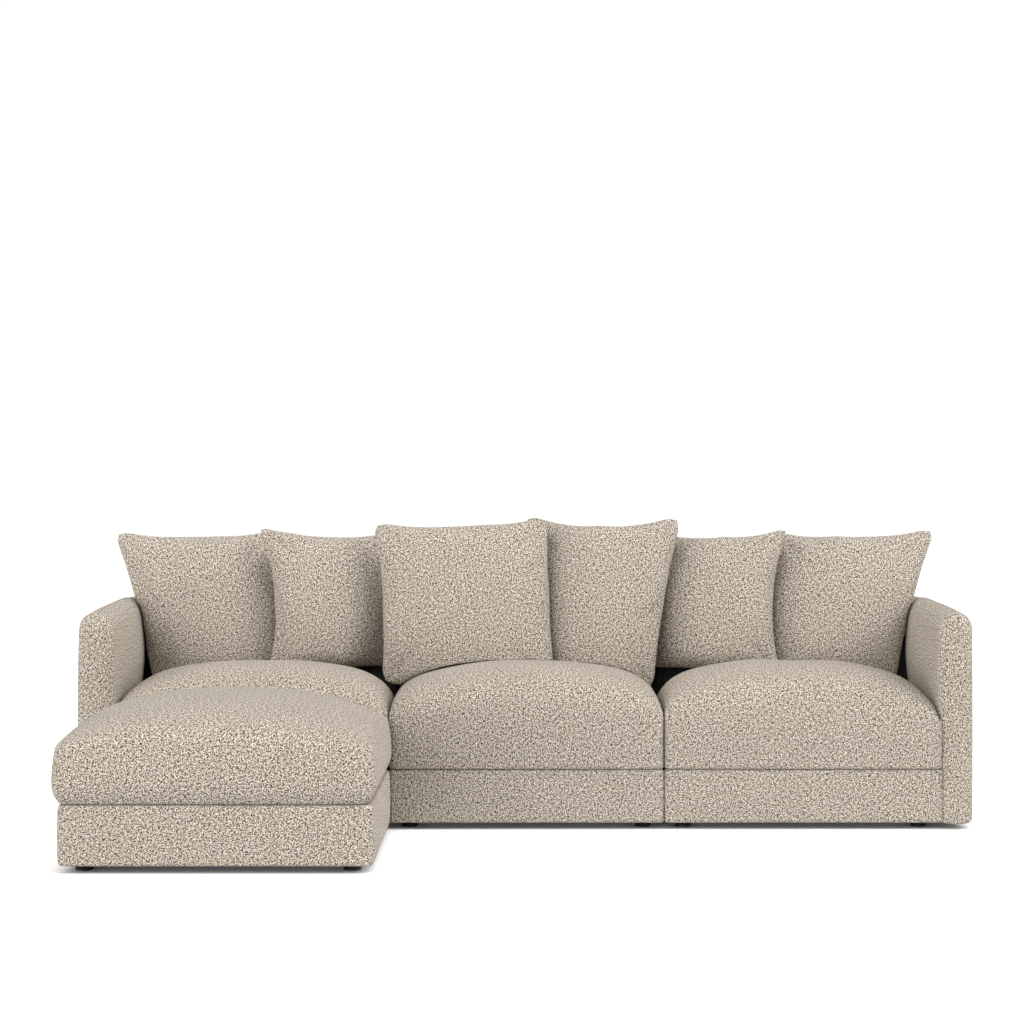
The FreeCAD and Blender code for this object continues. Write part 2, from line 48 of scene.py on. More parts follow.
# ---------------------------------------------------------------- sizes
PITCH = 0.87                      # from one seat to the next
MODULES = {"left": -PITCH, "middle": 0.0, "right": PITCH}
BASE_HALF = 0.4344                # half width of a base
SEAT_HALF = 0.4344                # half width of a seat cushion
BASE_LOW, BASE_TOP = 0.0202, 0.1895
SEAT_EDGE = 0.345
SEAT_CROWN = {"left": (0.171, 0.02), "middle": (0.170, 0.03), "right": (0.173, -0.03)}     # rise, and how much fuller to the right
SEAT_Y = (-0.006, 0.549)
INTO_ARM = 0.010                  # how far the cushions and bases run into the arms
STOOL_MID, STOOL_HALF = -0.866, 0.437
PAD_MID, PAD_HALF = -0.8725, 0.436
PAD_EDGE, PAD_RISE = 0.345, 0.133
ARM_IN, ARM_OUT = 1.3035, 1.4095
BACK_SLOPE = math.tan(math.radians(10.9))
SEAT_SHAPE, PAD_SHAPE = (2.35, 0.363), (2.2, 0.48)


def span(side, half):
    """From where to where a seat's cushion or base runs."""
    x = MODULES[side]
    return x - half - (INTO_ARM if side == "left" else 0), x + half + (INTO_ARM if side == "right" else 0)


# ---------------------------------------------------------------- mesh helpers
def shell(na, nb, nc):
    """A grid on the surface of a box: index triples and quads that face outwards."""
    key, idx, quads = {}, [], []

    def at(i, j, k):
        t = (i, j, k)
        if t not in key:
            key[t] = len(idx)
            idx.append(t)
        return key[t]

    for j in range(nb - 1):
        for k in range(nc - 1):
            quads.append((at(0, j, k), at(0, j, k + 1), at(0, j + 1, k + 1), at(0, j + 1, k)))
            quads.append((at(na - 1, j, k), at(na - 1, j + 1, k), at(na - 1, j + 1, k + 1), at(na - 1, j, k + 1)))
    for i in range(na - 1):
        for k in range(nc - 1):
            quads.append((at(i, 0, k), at(i + 1, 0, k), at(i + 1, 0, k + 1), at(i, 0, k + 1)))
            quads.append((at(i, nb - 1, k), at(i, nb - 1, k + 1), at(i + 1, nb - 1, k + 1), at(i + 1, nb - 1, k)))
    for i in range(na - 1):
        for j in range(nb - 1):
            quads.append((at(i, j, 0), at(i, j + 1, 0), at(i + 1, j + 1, 0), at(i + 1, j, 0)))
            quads.append((at(i, j, nc - 1), at(i + 1, j, nc - 1), at(i + 1, j + 1, nc - 1), at(i, j + 1, nc - 1)))
    return np.array(idx), quads


def edge_steps(half, radius, flat, curve):
    """Places along one axis from -1 to 1, close together where the corner turns."""
    c = half - radius + radius * np.tan(np.linspace(0, math.pi / 4, curve + 1)[1:])
    return np.concatenate([-c[::-1], np.linspace(-(half - radius), half - radius, flat + 1), c]) / half


def plan(bx, by, hx, hy, r):
    """The outline of a rounded rectangle at a point of the unit square's edge."""
    x, y = bx * hx, by * hy
    r = np.minimum(r, np.minimum(hx, hy) * 0.995)
    ex, ey = np.maximum(np.abs(x) - (hx - r), 0), np.maximum(np.abs(y) - (hy - r), 0)
    k = np.where((ex > 0) & (ey > 0), r / np.maximum(np.hypot(ex, ey), 1e-9), 1.0)
    return (np.sign(x) * (np.minimum(np.abs(x), hx - r) + ex * k),
            np.sign(y) * (np.minimum(np.abs(y), hy - r) + ey * k))


def soft_block(lo, hi, rp, rt, rb, flats, curve=7):
    """A block with corners of radius rp in plan, a top edge of radius rt and a bottom edge of radius rb."""
    lo, hi = np.array(lo, float), np.array(hi, float)
    half, mid = (hi - lo) / 2, (hi + lo) / 2
    a_steps = edge_steps(half[0], min(rp, half[0] * 0.95), flats[0], curve)
    b_steps = edge_steps(half[1], min(rp, half[1] * 0.95), flats[1], curve)
    tb, tt = np.linspace(0, math.pi / 2, 5), np.linspace(0, math.pi / 2, curve + 2)
    zs = np.linspace(lo[2] + rb, hi[2] - rt, flats[2] + 1)
    z_steps = np.concatenate([lo[2] + rb - rb * np.cos(tb[:-1]), zs, hi[2] - rt + rt * np.sin(tt[1:])])
    d_steps = np.concatenate([rb - rb * np.sin(tb[:-1]), 0 * zs, rt - rt * np.cos(tt[1:])])
    idx, quads = shell(len(a_steps), len(b_steps), len(z_steps))
    a, b = a_steps[idx[:, 0]], b_steps[idx[:, 1]]
    m = np.maximum(np.maximum(np.abs(a), np.abs(b)), 1e-9)
    d = d_steps[idx[:, 2]]
    x, y = plan(a / m, b / m, half[0] - d, half[1] - d, np.maximum(rp - d, 0.003))
    p = np.stack([mid[0] + x * m, mid[1] + y * m, z_steps[idx[:, 2]]], 1)
    low, top = idx[:, 2] == 0, idx[:, 2] == len(z_steps) - 1
    return p, quads, {"a": a, "b": b, "m": m, "low": low, "top": top}


def dome(u, v, shape, fuller=0.0):
    power, round_off = shape
    return (np.maximum(1 - np.abs(u) ** power, 0) * np.maximum(1 - np.abs(v) ** power, 0)) ** round_off * (1 + fuller * u)


def soft_cushion(lo, hi, edge, crown, rp, rb, counts, swell):
    """A boxed cushion: straight sides from z lo to edge that swell by swell(t), and a crowned top."""
    lo, hi = np.array(lo, float), np.array(hi, float)
    half, mid = (hi[:2] - lo[:2]) / 2, (hi[:2] + lo[:2]) / 2
    a_steps = np.sin(np.linspace(-1, 1, counts[0]) * math.pi / 2)
    b_steps = np.sin(np.linspace(-1, 1, counts[1]) * math.pi / 2)
    tb = np.linspace(0, math.pi / 2, 5)
    zs = np.linspace(lo[2] + rb, edge, counts[2])
    z_steps = np.concatenate([lo[2] + rb - rb * np.cos(tb[:-1]), zs])
    d_steps = np.concatenate([rb - rb * np.sin(tb[:-1]), 0 * zs])
    idx, quads = shell(len(a_steps), len(b_steps), len(z_steps))
    a, b = a_steps[idx[:, 0]], b_steps[idx[:, 1]]
    m = np.maximum(np.maximum(np.abs(a), np.abs(b)), 1e-9)
    z = z_steps[idx[:, 2]]
    d = d_steps[idx[:, 2]] - swell((z - lo[2]) / (edge - lo[2]))
    x, y = plan(a / m, b / m, half[0] - d, half[1] - d, np.maximum(rp - d, 0.003))
    top = idx[:, 2] == len(z_steps) - 1
    z = np.where(top, edge + crown(a, b), z)
    p = np.stack([mid[0] + x * m, mid[1] + y * m, z], 1)
    return p, quads, {"a": a, "b": b, "m": m, "low": idx[:, 2] == 0, "top": top}


def waves(p, size, seed, count=7):
    """A smooth unevenness between about -1 and 1, the same on every run."""
    rng = np.random.RandomState(seed)
    out = np.zeros(len(p))
    for _ in range(count):
        k = rng.normal(size=3)
        k *= 2 * math.pi / (size * rng.uniform(0.7, 1.6)) / np.linalg.norm(k)
        out += np.sin(p @ k + rng.uniform(0, 2 * math.pi))
    return out / math.sqrt(count)


def smooth_step(x):
    x = np.clip(x, 0, 1)
    return x * x * (3 - 2 * x)


def make(name, p, quads, material, body, replaced=(), subdivide=1):
    mesh = bpy.data.meshes.new(name)
    mesh.from_pydata([tuple(map(float, v)) for v in p], [], [tuple(int(i) for i in q) for q in quads])
    mesh.update()
    mesh.polygons.foreach_set("use_smooth", [True] * len(mesh.polygons))
    o = bpy.data.objects.new(name, mesh)
    scene.collection.objects.link(o)
    mesh.materials.append(material)
    if subdivide:
        s = o.modifiers.new("subdivision", "SUBSURF")
        s.levels = s.render_levels = subdivide
    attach(o, body)
    if replaced:
        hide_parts(*replaced)
    return o


# ---------------------------------------------------------------- materials
def new_material(name):
    m = bpy.data.materials.new(name)
    m.use_nodes = True
    t = m.node_tree
    t.nodes.clear()
    out = t.nodes.new("ShaderNodeOutputMaterial")
    bsdf = t.nodes.new("ShaderNodeBsdfPrincipled")
    t.links.new(bsdf.outputs["BSDF"], out.inputs["Surface"])
    return m, t, bsdf


def node(t, kind, **values):
    n = t.nodes.new(kind)
    for k, v in values.items():
        if k in n.inputs:
            n.inputs[k].default_value = v
        else:
            setattr(n, k, v)
    return n


def maths(t, op, a, b=None, clamp=False):
    n = t.nodes.new("ShaderNodeMath")
    n.operation, n.use_clamp = op, clamp
    for i, v in enumerate((a, b)):
        if v is None:
            continue
        if isinstance(v, (int, float)):
            n.inputs[i].default_value = v
        else:
            t.links.new(v, n.inputs[i])
    return n.outputs[0]


def ramp(t, fac, stops, interpolation="LINEAR"):
    n = t.nodes.new("ShaderNodeValToRGB")
    n.color_ramp.interpolation = interpolation
    e = n.color_ramp.elements
    while len(e) < len(stops):
        e.new(0.5)
    for x, (pos, col) in zip(e, stops):
        x.position = pos
        x.color = (*col, 1) if len(col) == 3 else col
    t.links.new(fac, n.inputs[0])
    return n.outputs[0]


def vector(t, op, a, b=None, scale=None):
    n = t.nodes.new("ShaderNodeVectorMath")
    n.operation = op
    t.links.new(a, n.inputs[0])
    if isinstance(b, tuple):
        n.inputs[1].default_value = b
    elif b is not None:
        t.links.new(b, n.inputs[1])
    if scale is not None:
        n.inputs["Scale"].default_value = scale
    return n.outputs[0]


def noise_2d(t, co, scale, detail=0.0):
    n = node(t, "ShaderNodeTexNoise", noise_dimensions="2D")
    n.inputs["Scale"].default_value, n.inputs["Detail"].default_value = scale, detail
    t.links.new(co, n.inputs["Vector"])
    return n


def cloth_places(t, co):
    """Places on the cloth, on the bias: two axes across the side that the surface faces most."""
    L = t.links.new
    p = t.nodes.new("ShaderNodeSeparateXYZ")
    L(co, p.inputs[0])
    n = t.nodes.new("ShaderNodeSeparateXYZ")
    L(vector(t, "ABSOLUTE", node(t, "ShaderNodeNewGeometry").outputs["True Normal"]), n.inputs[0])
    side = maths(t, "GREATER_THAN", n.outputs[0], maths(t, "MAXIMUM", n.outputs[1], n.outputs[2]))
    top = maths(t, "GREATER_THAN", n.outputs[2], maths(t, "MAXIMUM", n.outputs[0], n.outputs[1]))

    def pick(first, second, which):
        m = node(t, "ShaderNodeMix", data_type="FLOAT")
        L(which, m.inputs[0])
        L(first, m.inputs[2])
        L(second, m.inputs[3])
        return m.outputs[0]
    u, v = pick(p.outputs[0], p.outputs[1], side), pick(p.outputs[2], p.outputs[1], top)
    out = t.nodes.new("ShaderNodeCombineXYZ")
    L(maths(t, "MULTIPLY", maths(t, "ADD", u, v), 0.7071), out.inputs[0])
    L(maths(t, "MULTIPLY", maths(t, "SUBTRACT", u, v), 0.7071), out.inputs[1])
    return out.outputs[0]


def loops(t, co, scale, step):
    """Small loops of yarn: how a noise rises from one place to the next, so that it has no slow part."""
    here, there = (noise_2d(t, vector(t, "ADD", co, (k * step[0], k * step[1], 0.0)), scale).outputs["Fac"] for k in (1, -1))
    return maths(t, "SUBTRACT", here, there)


def boucle_material():
    """Looped wool: thick and thin loops of a cream yarn over a darker ground, with flecks of taupe."""
    m, t, bsdf = new_material("boucle")
    L = t.links.new
    co = node(t, "ShaderNodeTexCoord").outputs["Object"]
    cloth = cloth_places(t, co)
    stray = vector(t, "SUBTRACT", noise_2d(t, cloth, 90.0, 1.0).outputs["Color"], (0.5, 0.5, 0.5))
    moved = vector(t, "ADD", cloth, vector(t, "SCALE", stray, scale=0.006))
    thick = maths(t, "ADD", loops(t, moved, 95.0, (0.0017, 0.0)), loops(t, vector(t, "ADD", moved, (5.3, 2.2, 0.0)), 95.0, (0.0, 0.0017)))
    thin = maths(t, "ADD", loops(t, vector(t, "ADD", moved, (3.1, 1.7, 0.0)), 230.0, (0.00105, 0.0)),
                 loops(t, vector(t, "ADD", moved, (1.3, 4.9, 0.0)), 225.0, (0.0, 0.00105)))
    # height of the pile
    pile = maths(t, "ADD", maths(t, "MULTIPLY", thick, 0.43), maths(t, "MULTIPLY", thin, 0.89))
    pile = maths(t, "ADD", pile, 0.5)
    # flecks of another yarn
    fleck = noise_2d(t, cloth, 300.0).outputs["Fac"]
    tone = maths(t, "ADD", pile, maths(t, "MULTIPLY", maths(t, "SUBTRACT", fleck, 0.5), 0.40))
    # slow change of shade over the cloth
    slow = node(t, "ShaderNodeTexNoise", Scale=9.0, Detail=3.0, Roughness=0.55)
    L(co, slow.inputs["Vector"])
    tone = maths(t, "ADD", tone, maths(t, "MULTIPLY", maths(t, "SUBTRACT", slow.outputs["Fac"], 0.5), 0.06))
    colour = ramp(t, tone, [
        (0.06, (0.048, 0.037, 0.027)),
        (0.26, (0.131, 0.107, 0.082)),
        (0.45, (0.273, 0.233, 0.188)),
        (0.64, (0.437, 0.386, 0.325)),
        (0.86, (0.579, 0.530, 0.468)),
    ])
    L(colour, bsdf.inputs["Base Color"])
    rough = maths(t, "SUBTRACT", 0.98, maths(t, "MULTIPLY", pile, 0.10))
    L(rough, bsdf.inputs["Roughness"])
    bump = node(t, "ShaderNodeBump", Strength=0.40, Distance=0.0025)
    L(pile, bump.inputs["Height"])
    L(bump.outputs["Normal"], bsdf.inputs["Normal"])
    bsdf.inputs["Specular IOR Level"].default_value = 0.14
    bsdf.inputs["Sheen Weight"].default_value = 0.09
    bsdf.inputs["Sheen Roughness"].default_value = 0.6
    bsdf.inputs["Sheen Tint"].default_value = (0.95, 0.90, 0.82, 1)
    return m


def timber_material():
    m, t, bsdf = new_material("pale_timber")
    L = t.links.new
    co = node(t, "ShaderNodeTexCoord").outputs["Object"]
    stretch = node(t, "ShaderNodeMapping")
    stretch.inputs["Scale"].default_value = (2.0, 34.0, 34.0)
    L(co, stretch.inputs["Vector"])
    grain = node(t, "ShaderNodeTexNoise", Scale=2.6, Detail=6.0, Roughness=0.62, Distortion=0.8)
    L(stretch.outputs[0], grain.inputs["Vector"])
    pores = node(t, "ShaderNodeTexNoise", Scale=14.0, Detail=2.0)
    L(stretch.outputs[0], pores.inputs["Vector"])
    mixed = maths(t, "ADD", maths(t, "MULTIPLY", grain.outputs["Fac"], 0.75), maths(t, "MULTIPLY", pores.outputs["Fac"], 0.25))
    L(ramp(t, mixed, [(0.30, (0.36, 0.22, 0.11)), (0.5, (0.56, 0.39, 0.22)), (0.72, (0.70, 0.53, 0.34))]), bsdf.inputs["Base Color"])
    L(maths(t, "ADD", 0.50, maths(t, "MULTIPLY", mixed, 0.30)), bsdf.inputs["Roughness"])
    bump = node(t, "ShaderNodeBump", Strength=0.25, Distance=0.0008)
    L(mixed, bump.inputs["Height"])
    L(bump.outputs["Normal"], bsdf.inputs["Normal"])
    return m


def webbing_material():
    m, t, bsdf = new_material("elastic_webbing")
    L = t.links.new
    co = node(t, "ShaderNodeTexCoord").outputs["Object"]
    wx = node(t, "ShaderNodeTexWave", Scale=95.0, Distortion=0.6, Detail=1.0)
    wx.bands_direction = "X"
    wy = node(t, "ShaderNodeTexWave", Scale=140.0, Distortion=0.6, Detail=1.0)
    wy.bands_direction = "Y"
    L(co, wx.inputs["Vector"])
    L(co, wy.inputs["Vector"])
    weave = maths(t, "MULTIPLY", wx.outputs["Fac"], wy.outputs["Fac"])
    L(ramp(t, weave, [(0.0, (0.035, 0.033, 0.030)), (0.6, (0.12, 0.115, 0.105)), (1.0, (0.30, 0.28, 0.25))]), bsdf.inputs["Base Color"])
    L(maths(t, "ADD", 0.72, maths(t, "MULTIPLY", weave, 0.2)), bsdf.inputs["Roughness"])
    bump = node(t, "ShaderNodeBump", Strength=0.5, Distance=0.0008)
    L(weave, bump.inputs["Height"])
    L(bump.outputs["Normal"], bsdf.inputs["Normal"])
    return m


# near-black cloth of the dust covers under the bases; the same finish also makes the sheet of painted shade behind the
# seat cushions
def dust_cloth_material():
    m, t, bsdf = new_material("dust_cloth")
    L = t.links.new
    co = node(t, "ShaderNodeTexCoord").outputs["Object"]
    fibres = node(t, "ShaderNodeTexNoise", Scale=420.0, Detail=3.0, Roughness=0.7)
    press = node(t, "ShaderNodeTexVoronoi", Scale=620.0, Randomness=0.15)
    L(co, fibres.inputs["Vector"])
    L(co, press.inputs["Vector"])
    mixed = maths(t, "ADD", maths(t, "MULTIPLY", fibres.outputs["Fac"], 0.7), maths(t, "MULTIPLY", press.outputs["Distance"], 0.3))
    L(ramp(t, mixed, [(0.25, (0.006, 0.006, 0.006)), (0.55, (0.016, 0.016, 0.016)), (0.85, (0.040, 0.039, 0.038))]), bsdf.inputs["Base Color"])
    L(maths(t, "ADD", 0.80, maths(t, "MULTIPLY", mixed, 0.15)), bsdf.inputs["Roughness"])
    bump = node(t, "ShaderNodeBump", Strength=0.4, Distance=0.0005)
    L(mixed, bump.inputs["Height"])
    L(bump.outputs["Normal"], bsdf.inputs["Normal"])
    return m


def plastic_material():
    m, t, bsdf = new_material("moulded_plastic")
    L = t.links.new
    co = node(t, "ShaderNodeTexCoord").outputs["Object"]
    grain = node(t, "ShaderNodeTexNoise", Scale=900.0, Detail=3.0)
    scuff = node(t, "ShaderNodeTexNoise", Scale=45.0, Detail=4.0, Roughness=0.7)
    L(co, grain.inputs["Vector"])
    L(co, scuff.inputs["Vector"])
    L(ramp(t, scuff.outputs["Fac"], [(0.3, (0.008, 0.008, 0.009)), (0.7, (0.020, 0.020, 0.021))]), bsdf.inputs["Base Color"])
    L(maths(t, "ADD", 0.34, maths(t, "MULTIPLY", scuff.outputs["Fac"], 0.26)), bsdf.inputs["Roughness"])
    bump = node(t, "ShaderNodeBump", Strength=0.2, Distance=0.0003)
    L(grain.outputs["Fac"], bump.inputs["Height"])
    L(bump.outputs["Normal"], bsdf.inputs["Normal"])
    return m


def zinc_material():
    m, t, bsdf = new_material("zinc_steel")
    L = t.links.new
    co = node(t, "ShaderNodeTexCoord").outputs["Object"]
    spangle = node(t, "ShaderNodeTexVoronoi", Scale=140.0)
    fine = node(t, "ShaderNodeTexNoise", Scale=500.0, Detail=3.0)
    L(co, spangle.inputs["Vector"])
    L(co, fine.inputs["Vector"])
    mixed = maths(t, "ADD", maths(t, "MULTIPLY", spangle.outputs["Distance"], 0.6), maths(t, "MULTIPLY", fine.outputs["Fac"], 0.4))
    L(ramp(t, mixed, [(0.2, (0.42, 0.43, 0.44)), (0.6, (0.58, 0.59, 0.60)), (0.9, (0.72, 0.73, 0.74))]), bsdf.inputs["Base Color"])
    bsdf.inputs["Metallic"].default_value = 1.0
    L(maths(t, "ADD", 0.28, maths(t, "MULTIPLY", mixed, 0.25)), bsdf.inputs["Roughness"])
    bump = node(t, "ShaderNodeBump", Strength=0.15, Distance=0.0003)
    L(fine.outputs["Fac"], bump.inputs["Height"])
    L(bump.outputs["Normal"], bsdf.inputs["Normal"])
    return m


BOUCLE = boucle_material()
TIMBER = timber_material()
WEBBING = webbing_material()
DUST_CLOTH_AND_SHADE = dust_cloth_material()
PLASTIC = plastic_material()
ZINC = zinc_material()

FINISH = {
    "_long_rails": TIMBER, "_side_rails": TIMBER, "_corner_blocks": TIMBER, "_back_panel": TIMBER, "_arm_panel": TIMBER,
    "_webbing": WEBBING, "_dust_cover": DUST_CLOTH_AND_SHADE, "_feet": PLASTIC, "_frame_bolts": ZINC,
    "_connector_tongues": ZINC, "_connector_plates": ZINC,
}
for name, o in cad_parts.items():
    finish = next((m for end, m in FINISH.items() if name.endswith(end)), BOUCLE)
    o.data.materials.clear()
    o.data.materials.append(finish)


# ---------------------------------------------------------------- bases
def recess(p, info, height=0.0272, margin=0.022, half=(0.43, 0.28)):
    """The cloth is turned under the rail, and the dust cover closes the middle of the underside."""
    inner = info["low"] & (np.abs(info["a"]) < 1 - margin / half[0]) & (np.abs(info["b"]) < 1 - margin / half[1])
    p[inner, 2] = height
    return p


for side, x in MODULES.items():
    x0, x1 = span(side, BASE_HALF)
    p, q, info = soft_block((x0, 0.0, BASE_LOW), (x1, 0.552, BASE_TOP), 0.013, 0.009, 0.009, (40, 24, 8), 5)
    front = (info["b"] < -0.985) & ~info["low"] & ~info["top"]
    t = (p[:, 2] - BASE_LOW) / (BASE_TOP - BASE_LOW)
    p[:, 1] -= np.where(info["b"] < -0.9, 0.0045 * (1 - np.abs(info["a"]) ** 4) * np.sin(np.pi * np.clip(t, 0, 1)) ** 0.7, 0)
    p = recess(p, info)
    o = make(f"{side}_base_upholstery", p, q, BOUCLE, f"{side}_module", (f"{side}_front_cover", f"{side}_side_covers"))

p, q, info = soft_block((STOOL_MID - STOOL_HALF, -0.885, BASE_LOW), (STOOL_MID + STOOL_HALF, -0.015, BASE_TOP), 0.024, 0.008, 0.010, (40, 40, 8), 5)
t = np.clip((p[:, 2] - BASE_LOW) / (BASE_TOP - BASE_LOW), 0, 1)
bow = 0.004 * np.sin(np.pi * t) ** 0.7
p[:, 1] += np.where(np.abs(info["b"]) > 0.9, np.sign(info["b"]) * bow * (1 - np.abs(info["a"]) ** 4), 0)
p[:, 0] += np.where(np.abs(info["a"]) > 0.9, np.sign(info["a"]) * 1.8 * bow * (1 - np.abs(info["b"]) ** 8), 0)
p = recess(p, info, half=(0.43, 0.43))
o = make("footstool_base_upholstery", p, q, BOUCLE, "footstool", ("footstool_end_covers", "footstool_side_covers"))


# ---------------------------------------------------------------- seat cushions and pad
def beside_arm(side, u):
    """Place across a seat, measured so that the crown ends at the arm."""
    arm = {"left": u < 0, "right": u > 0}.get(side, u > 9)
    return np.where(arm, u * 1.03, u)


def seat_height(x, y):
    """Top of the seats at a point, or 0 outside them."""
    z = np.zeros(len(x))
    for side in MODULES:
        x0, x1 = span(side, SEAT_HALF)
        u, v = (2 * x - x0 - x1) / (x1 - x0), (y - sum(SEAT_Y) / 2) / ((SEAT_Y[1] - SEAT_Y[0]) / 2)
        inside = (np.abs(u) < 1) & (np.abs(v) < 1)
        rise, fuller = SEAT_CROWN[side]
        z = np.where(inside, SEAT_EDGE + rise * dome(beside_arm(side, np.clip(u, -1, 1)), np.clip(v, -1, 1), SEAT_SHAPE, fuller), z)
    return z


for n, (side, x) in enumerate(MODULES.items()):
    rise, fuller = SEAT_CROWN[side]
    x0, x1 = span(side, SEAT_HALF)
    p, q, info = soft_cushion((x0, SEAT_Y[0], 0.190), (x1, SEAT_Y[1], 0), SEAT_EDGE,
                              lambda a, b: rise * dome(beside_arm(side, a), b, SEAT_SHAPE, fuller), 0.024, 0.009, (61, 45, 9), lambda t: 0 * t)
    t = np.clip((p[:, 2] - 0.19) / 0.2, 0, 1)
    p[:, 1] -= np.where(info["b"] < -0.9, 0.006 * np.sin(np.pi * t) * (1 - np.abs(info["a"]) ** 6), 0)
    lift = smooth_step((p[:, 2] - SEAT_EDGE) / 0.08)
    p[:, 2] += 0.0022 * lift * waves(p, 0.30, 11 + n)
    o = make(f"{side}_seat_upholstery", p, q, BOUCLE, f"{side}_module", (f"{side}_seat_cushion",))

p, q, info = soft_cushion((PAD_MID - PAD_HALF, -0.885, 0.190), (PAD_MID + PAD_HALF, -0.015, 0), PAD_EDGE,
                          lambda a, b: PAD_RISE * dome(a, b, PAD_SHAPE), 0.035, 0.006, (61, 61, 15),
                          lambda t: 0.015 - np.where(t < 0.4, 0.024 * np.abs(t / 0.4 - 1) ** 2.4, 0.010 * np.abs((t - 0.4) / 0.6) ** 2))
lift = smooth_step((p[:, 2] - PAD_EDGE) / 0.08)
p[:, 2] += 0.0022 * lift * waves(p, 0.32, 31)
o = make("footstool_pad_upholstery", p, q, BOUCLE, "footstool", ("footstool_pad",))


# ---------------------------------------------------------------- arms and backs
def arm_bulge(z):
    """How far an arm's inner face stands out at its rear end."""
    return 0.0105 * np.exp(-((z - 0.53) / 0.10) ** 2) - 0.011 * smooth_step((z - 0.63) / 0.07)


for side, s in (("left", -1), ("right", 1)):
    p, q, info = soft_block((-0.053, -0.012, 0.017), (0.053, 0.551, 0.679), 0.050, 0.050, 0.014, (2, 22, 26), 7)
    up = np.clip((p[:, 2] - 0.19) / 0.478, 0, 1)
    along = np.clip((p[:, 1] + 0.012) / 0.563, 0, 1)
    # the rear end follows the slope of the back, and the top rises a little towards it
    p[:, 1] += smooth_step((along - 0.25) / 0.75) * np.maximum(p[:, 2] - 0.19, 0) * 0.235
    p[:, 2] += 0.033 * smooth_step((p[:, 2] - 0.36) / 0.30) * along ** 0.75
    # padded faces
    swell = np.sin(np.pi * np.clip((p[:, 1] + 0.012) / 0.60, 0, 1)) ** 0.8
    inner = np.exp(-((p[:, 2] - 0.50) / 0.13) ** 2)
    outer = np.sin(np.pi * np.clip((p[:, 2] - 0.017) / 0.66, 0, 1)) ** 0.8
    rear = smooth_step((p[:, 1] - 0.10) / 0.35)
    p[:, 0] += np.where(p[:, 0] < 0, -(0.013 * inner * swell + rear * arm_bulge(p[:, 2])) * np.clip(-p[:, 0] / 0.053, 0, 1), (0.010 if side == "left" else 0.003) * outer ** 0.5)
    # seam along the middle of the nose and the top
    nose = np.exp(-(p[:, 0] / 0.0028) ** 2)
    p[:, 1] += np.where((info["b"] < -0.99) & ~info["low"], 0.0030 * nose, 0)
    p[:, 2] -= np.where(info["top"], 0.0028 * nose, 0)
    p[:, 0] = s * (p[:, 0] + (ARM_IN + ARM_OUT) / 2)
    if s < 0:
        q = [tuple(reversed(f)) for f in q]
    o = make(f"{side}_arm_upholstery", p, q, BOUCLE, f"{side}_module", (f"{side}_arm_cover",))

for side, (x0, x1) in {"left": (-1.4095, -0.4385), "middle": (-0.4315, 0.4315), "right": (0.4385, 1.4095)}.items():
    p, q, info = soft_block((x0, 0.5545, 0.022), (x1, 0.885, 0.705), 0.042, 0.042, 0.012, (36, 12, 28), 7)
    depth = np.clip((0.885 - p[:, 1]) / 0.3305, 0, 1)
    rise = np.clip((p[:, 2] - 0.022) / 0.683, 0, 1)
    p[:, 1] += np.maximum(p[:, 2] - 0.19, 0) * 0.231 * depth
    # the outer back and the top are a little crowned
    crown = 1 - np.abs(info["a"]) ** 4
    p[:, 1] += np.where(info["b"] > 0.9, 0.009 * crown * np.sin(np.pi * rise) ** 0.7, 0)
    p[:, 2] += 0.007 * crown * smooth_step((rise - 0.85) / 0.15)
    o = make(f"{side}_back_upholstery", p, q, BOUCLE, f"{side}_module", (f"{side}_back_cover",))
    # a near-black sheet in the dust cloth's finish where the seat cushion stands against the back: painted shade for
    # the dark gap between the cushions and the back; beside the arms it reaches higher, as painted shade in the gap
    # between cushion and arm
    p, q, info = soft_block((x0 - 0.0008 if side != "left" else -1.345, 0.5536, 0.196), (x1 + 0.0008 if side != "right" else 1.345, 0.660, 0.480), 0.042, 0.002, 0.002, (40, 6, 16), 6)
    p[:, 2] = 0.196 + (p[:, 2] - 0.196) * (1 + 0.34 * smooth_step((np.abs(p[:, 0]) - 1.22) / 0.06))
    p[:, 1] += np.maximum(p[:, 2] - 0.19, 0) * 0.231 * np.clip((0.885 - p[:, 1]) / 0.3305, 0, 1)
    make(f"{side}_back_painted_shade_sheet", p, q, DUST_CLOTH_AND_SHADE, f"{side}_module", ())


# ---------------------------------------------------------------- feet
def turned(profile, centres, around=36):
    """Turned pieces from one (radius, height) profile, closed at both ends."""
    pts, quads = [], []
    for cx, cy in centres:
        base = len(pts)
        for r, z in profile:
            for i in range(around):
                a = 2 * math.pi * i / around
                pts.append((cx + r * math.cos(a), cy + r * math.sin(a), z))
        n = len(profile)
        for k in range(n - 1):
            for i in range(around):
                j = (i + 1) % around
                quads.append((base + k * around + i, base + k * around + j, base + (k + 1) * around + j, base + (k + 1) * around + i))
        quads.append(tuple(base + i for i in reversed(range(around))))
        quads.append(tuple(base + (n - 1) * around + i for i in range(around)))
    return np.array(pts), quads


FOOT = [(0.0205, 0.0), (0.0230, 0.0004), (0.0246, 0.0018), (0.0250, 0.0040), (0.0252, 0.0058), (0.0240, 0.0064), (0.0240, 0.0074),
        (0.0254, 0.0080), (0.0272, 0.0170), (0.0280, 0.0215), (0.0290, 0.0222), (0.0290, 0.0256), (0.0280, 0.0262)]
for side, x in MODULES.items():
    p, q = turned(FOOT, [(x + dx, y) for dx in (-0.371, 0.379 if side == "right" else 0.371) for y in (0.084, 0.480)])
    o = make(f"{side}_turned_feet", p, q, PLASTIC, f"{side}_module", (f"{side}_feet",), 0)
p, q = turned(FOOT, [(-PITCH + dx, y) for dx in (-0.371, 0.379) for y in (-0.801, -0.099)])
o = make("footstool_turned_feet", p, q, PLASTIC, "footstool", ("footstool_feet",), 0)


# ---------------------------------------------------------------- loose back cushions
CAM = np.array((-0.045, -7.165, 1.0))
FOCAL = 80 / 36 * 1024


